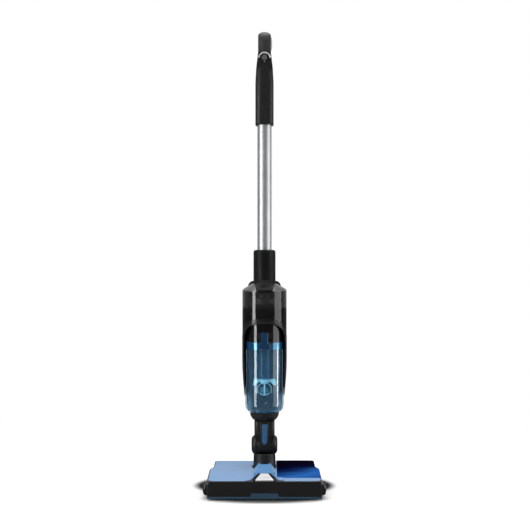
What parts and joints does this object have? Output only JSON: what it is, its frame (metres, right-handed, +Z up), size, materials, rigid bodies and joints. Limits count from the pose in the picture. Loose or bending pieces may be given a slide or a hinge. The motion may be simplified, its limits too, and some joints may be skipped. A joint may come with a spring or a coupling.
{
  "type": "wet dry floor scrubber",
  "caption": "Upright cordless wet and dry floor washer with a powered roller head, clean-water tank, clear dirty-water tank, swivel neck and loop handle.",
  "frame": {"origin": "on the floor at the centre of the object's footprint box", "axes": "+Z up, the front of the head faces -Y, +X to the right seen from the front"},
  "size_m": [0.302, 0.2, 1.174],
  "materials": {
    "blue_cover": "glossy light blue moulding",
    "slate_blue": "satin slate blue moulding",
    "button_blue": "satin blue button",
    "navy_clear": "dark navy translucent, polished",
    "blue_clear": "blue transparent, polished",
    "smoke_clear": "dark smoked translucent, polished",
    "black_matte": "fine textured black",
    "black_gloss": "polished black",
    "grey_gloss": "glossy mid grey",
    "grey_soft": "soft-touch dark grey",
    "light_grey": "satin light grey",
    "silver_plate": "bright satin silver",
    "tube_metal": "satin anodised",
    "steel": "turned steel",
    "microfibre": "short blue pile",
    "black_rubber": "matt rubber",
    "inner_grey": "moulded inner parts",
    "board": "circuit board",
    "filter_foam": "pleated filter medium",
    "baffle_white": "light grey moulding"
  },
  "bodies": {
    "head": {"head_base": "black_matte", "head_top_cover": "blue_cover", "front_lip": "slate_blue", "roller_bushes": "inner_grey", "roller_end_caps": "black_gloss", "drive_belt": "black_rubber", "brush_motor": "steel", "water_pump": "inner_grey", "spray_bar": "inner_grey", "suction_duct": "inner_grey", "squeegee_blade": "black_rubber", "glide_pads": "black_rubber", "wheel_axles": "steel", "head_screws": "steel", "swivel_ring": "black_matte"},
    "front_cover": {"roller_cover": "black_gloss"},
    "front_latch": {"cover_latch": "silver_plate"},
    "water_tank": {"clean_water_tank": "navy_clear"},
    "tank_cap": {"water_tank_cap": "inner_grey"},
    "roller": {"roller_core": "inner_grey", "roller_sleeve": "microfibre"},
    "motor_shaft": {"motor_pulley": "steel"},
    "wheel_left": {"rear_wheel_left": "black_rubber"},
    "wheel_right": {"rear_wheel_right": "black_rubber"},
    "knuckle": {"turret": "black_matte", "pitch_pins": "steel"},
    "stick": {"neck_housing": "black_matte", "bowl_base": "black_matte", "body_shell_front": "smoke_clear", "body_shell_rear": "black_matte", "arch_frame": "black_gloss", "shoulder_cap": "grey_gloss", "suction_motor": "steel", "motor_mount": "black_rubber", "control_board": "board", "riser_pipe": "inner_grey", "exhaust_grille": "black_matte", "tube_collar": "black_matte", "handle_tube": "tube_metal", "handle_sleeve": "black_matte", "grip": "grey_soft", "handle_yoke": "black_matte", "handle_trim": "light_grey", "control_panel": "black_gloss"},
    "neck_catch": {"neck_button": "button_blue"},
    "fan": {"impeller": "inner_grey"},
    "battery": {"battery_pack": "black_matte"},
    "battery_catch": {"battery_latch": "grey_gloss"},
    "dirty_tank": {"dirty_tank_bin": "blue_clear", "separator_lid": "smoke_clear", "tank_gasket": "black_rubber", "centre_tube": "blue_clear", "baffle": "baffle_white", "filter_pad": "filter_foam"},
    "dirty_tank_catch": {"tank_latch": "button_blue"},
    "float": {"float_ball": "baffle_white"},
    "tube_catch": {"tube_release_button": "grey_gloss"},
    "power_key": {"power_button": "grey_gloss"},
    "mode_key": {"mode_button": "grey_gloss"},
    "spray_trigger": {"trigger": "grey_soft"}
  },
  "joints": [
    {"name": "front_cover_lift", "type": "slide", "parent": "head", "child": "front_cover", "axis": [0, 0, 1], "range_m": [0, 0.045]},
    {"name": "front_latch_press", "type": "slide", "parent": "front_cover", "child": "front_latch", "axis": [0, 0, -1], "range_m": [0, 0.002], "stiffness_N_per_m": 300, "springref_m": -0.003},
    {"name": "water_tank_slide", "type": "slide", "parent": "head", "child": "water_tank", "axis": [1, 0, 0], "range_m": [0, 0.07]},
    {"name": "tank_cap_turn", "type": "hinge", "parent": "water_tank", "child": "tank_cap", "pos_m": [0.08, 0.01, 0.01], "axis": [0, 0, 1], "range_deg": [0, 90]},
    {"name": "roller_spin", "type": "hinge", "parent": "head", "child": "roller", "pos_m": [0, -0.066, 0.0203], "axis": [1, 0, 0], "continuous": true},
    {"name": "motor_spin", "type": "hinge", "parent": "head", "child": "motor_shaft", "pos_m": [0, 0.002, 0.026], "axis": [1, 0, 0], "continuous": true},
    {"name": "left_wheel_spin", "type": "hinge", "parent": "head", "child": "wheel_left", "pos_m": [-0.118, 0.078, 0.0183], "axis": [1, 0, 0], "continuous": true},
    {"name": "right_wheel_spin", "type": "hinge", "parent": "head", "child": "wheel_right", "pos_m": [0.118, 0.078, 0.0183], "axis": [1, 0, 0], "continuous": true},
    {"name": "neck_swivel", "type": "hinge", "parent": "head", "child": "knuckle", "pos_m": [0, 0.04, 0.06], "axis": [0, 0, 1], "range_deg": [-75, 75]},
    {"name": "stick_recline", "type": "hinge", "parent": "knuckle", "child": "stick", "pos_m": [0, 0.04, 0.106], "axis": [-1, 0, 0], "range_deg": [0, 75]},
    {"name": "neck_button_press", "type": "slide", "parent": "stick", "child": "neck_catch", "axis": [0, 1, 0], "range_m": [0, 0.0025], "stiffness_N_per_m": 300, "springref_m": -0.003},
    {"name": "fan_spin", "type": "hinge", "parent": "stick", "child": "fan", "pos_m": [0, 0.026, 0.45], "axis": [0, 0, 1], "continuous": true},
    {"name": "battery_lift", "type": "slide", "parent": "stick", "child": "battery", "axis": [0, 0, 1], "range_m": [0, 0.08]},
    {"name": "battery_latch_press", "type": "slide", "parent": "battery", "child": "battery_catch", "axis": [0, -1, 0], "range_m": [0, 0.002], "stiffness_N_per_m": 300, "springref_m": -0.003},
    {"name": "dirty_tank_pull", "type": "slide", "parent": "stick", "child": "dirty_tank", "axis": [0, -1, 0], "range_m": [0, 0.07]},
    {"name": "dirty_tank_latch_press", "type": "slide", "parent": "dirty_tank", "child": "dirty_tank_catch", "axis": [0, 1, 0], "range_m": [0, 0.0025], "stiffness_N_per_m": 300, "springref_m": -0.003},
    {"name": "float_rise", "type": "slide", "parent": "dirty_tank", "child": "float", "axis": [0, 0, 1], "range_m": [0, 0.0065]},
    {"name": "tube_button_press", "type": "slide", "parent": "stick", "child": "tube_catch", "axis": [0, -1, 0], "range_m": [0, 0.002], "stiffness_N_per_m": 300, "springref_m": -0.003},
    {"name": "power_press", "type": "slide", "parent": "stick", "child": "power_key", "axis": [0, 1, 0], "range_m": [0, 0.0015], "stiffness_N_per_m": 300, "springref_m": -0.003},
    {"name": "mode_press", "type": "slide", "parent": "stick", "child": "mode_key", "axis": [0, 1, 0], "range_m": [0, 0.0015], "stiffness_N_per_m": 300, "springref_m": -0.003},
    {"name": "trigger_press", "type": "slide", "parent": "stick", "child": "spray_trigger", "axis": [0, -1, 0], "range_m": [0, 0.003], "stiffness_N_per_m": 300, "springref_m": -0.003}
  ],
  "couplings": [
    {"joint": "motor_spin", "follows": "roller_spin", "ratio": 1.6667}
  ]
}
